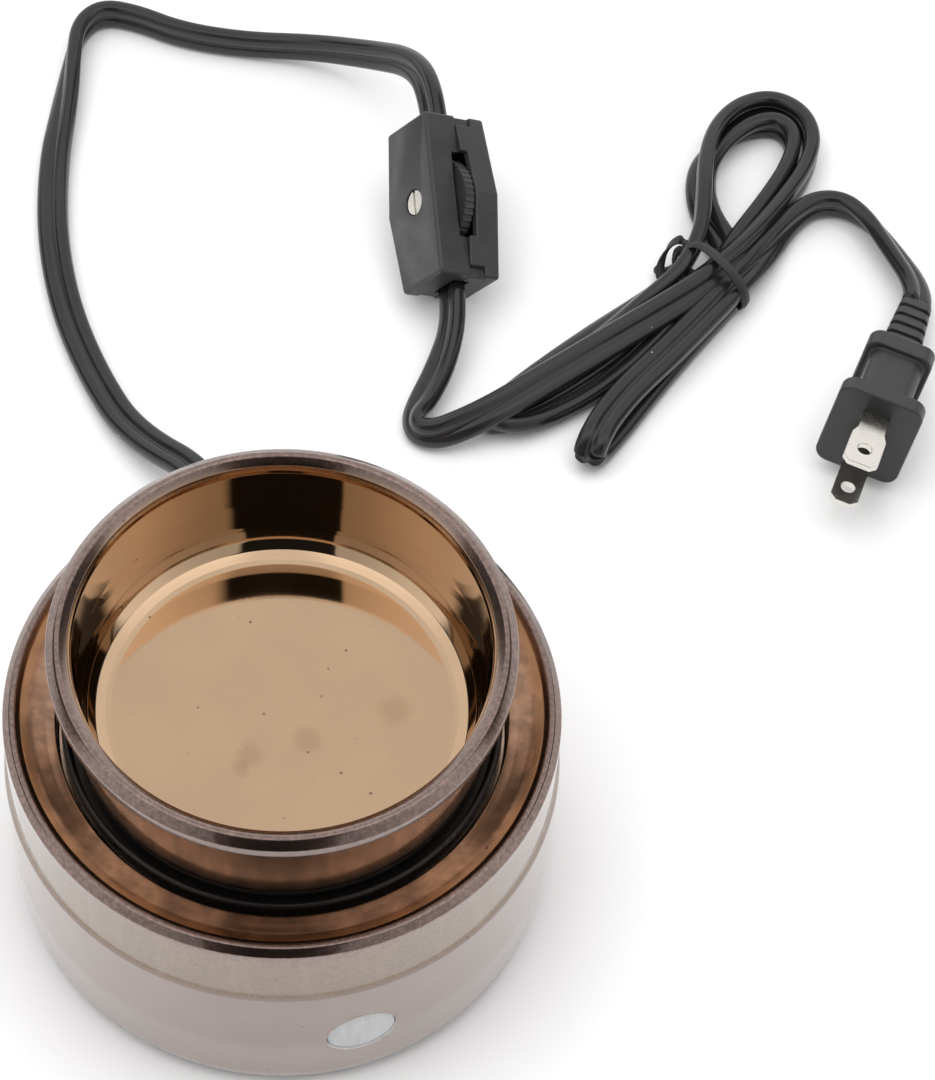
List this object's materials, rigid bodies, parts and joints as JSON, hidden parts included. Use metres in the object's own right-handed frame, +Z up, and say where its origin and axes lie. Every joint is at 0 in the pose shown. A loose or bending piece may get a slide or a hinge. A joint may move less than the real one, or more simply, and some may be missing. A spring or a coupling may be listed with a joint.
{
  "type": "wax warmer pot",
  "caption": "Round glazed ceramic wax warmer with a lift-off melting dish, hidden hot plate, pilot lamp and a flat lead with thumbwheel switch and plug.",
  "frame": {"origin": "centre of the pot's footprint on the table, under its axis", "axes": "+Z up along the pot's axis; +X to the right and +Y away from the viewer who faces the lamp from just left of -Y"},
  "size_m": [0.2081, 0.2895, 0.0825],
  "materials": {
    "glaze": "metallic bronze glaze",
    "dish_glaze": "metallic bronze glaze",
    "pan_metal": "black coated",
    "gasket": "moulded",
    "element": "pressed",
    "mica": "sheet",
    "insulation": "felt",
    "steel": "zinc plated",
    "sleeve": "woven glass",
    "cover": "moulded",
    "feet": "moulded",
    "lens": "translucent",
    "neon": "clear",
    "core_sheath": "moulded",
    "cap_plastic": "moulded",
    "wire_sheath": "sleeved",
    "switch_plastic": "satin",
    "nickel": "nickel plated",
    "wheel_plastic": "satin",
    "contact_brass": "stamped",
    "cord_black": "satin PVC",
    "tie_black": "coated wire",
    "plug_black": "moulded PVC"
  },
  "bodies": {
    "base": {"ceramic_body": "glaze", "heating_pan": "pan_metal", "pan_gasket": "gasket", "heating_element": "element", "mica_sheet": "mica", "insulation_pad": "insulation", "clamp_bracket": "steel", "centre_stud": "steel", "stud_washer": "steel", "stud_nut": "steel", "thermal_fuse": "steel", "fuse_sleeve": "sleeve", "base_cover": "cover", "cord_clamp": "cover", "clamp_screws": "steel", "cover_nut": "steel", "rubber_feet": "feet", "indicator_lens": "lens", "lamp_holder": "sleeve", "neon_lamp": "neon", "lamp_resistor": "sleeve", "cord_cores": "core_sheath", "crimp_caps": "cap_plastic", "wire_live": "wire_sheath", "wire_neutral": "wire_sheath", "switch_case_far": "switch_plastic", "switch_case_near": "switch_plastic", "switch_screw": "nickel", "switch_nut": "nickel", "switch_contacts": "contact_brass", "cord_relief": "cord_black", "cord_lead": "cord_black", "cord_link": "cord_black", "cord_end": "cord_black", "cord_hank": "cord_black", "cord_tie": "tie_black", "plug_body": "plug_black", "plug_relief": "plug_black", "blade_neutral": "nickel", "blade_live": "nickel"},
    "dish": {"melting_dish": "dish_glaze"},
    "thumbwheel": {"switch_wheel": "wheel_plastic", "wheel_contact": "contact_brass"}
  },
  "joints": [
    {"name": "dish_lift", "type": "slide", "parent": "base", "child": "dish", "axis": [0, 0, 1], "range_m": [0, 0.04]},
    {"name": "wheel_spin", "type": "hinge", "parent": "base", "child": "thumbwheel", "pos_m": [0.0375, 0.1596, 0.01588], "axis": [0.85, 0.2211, -0.4782], "continuous": true}
  ]
}
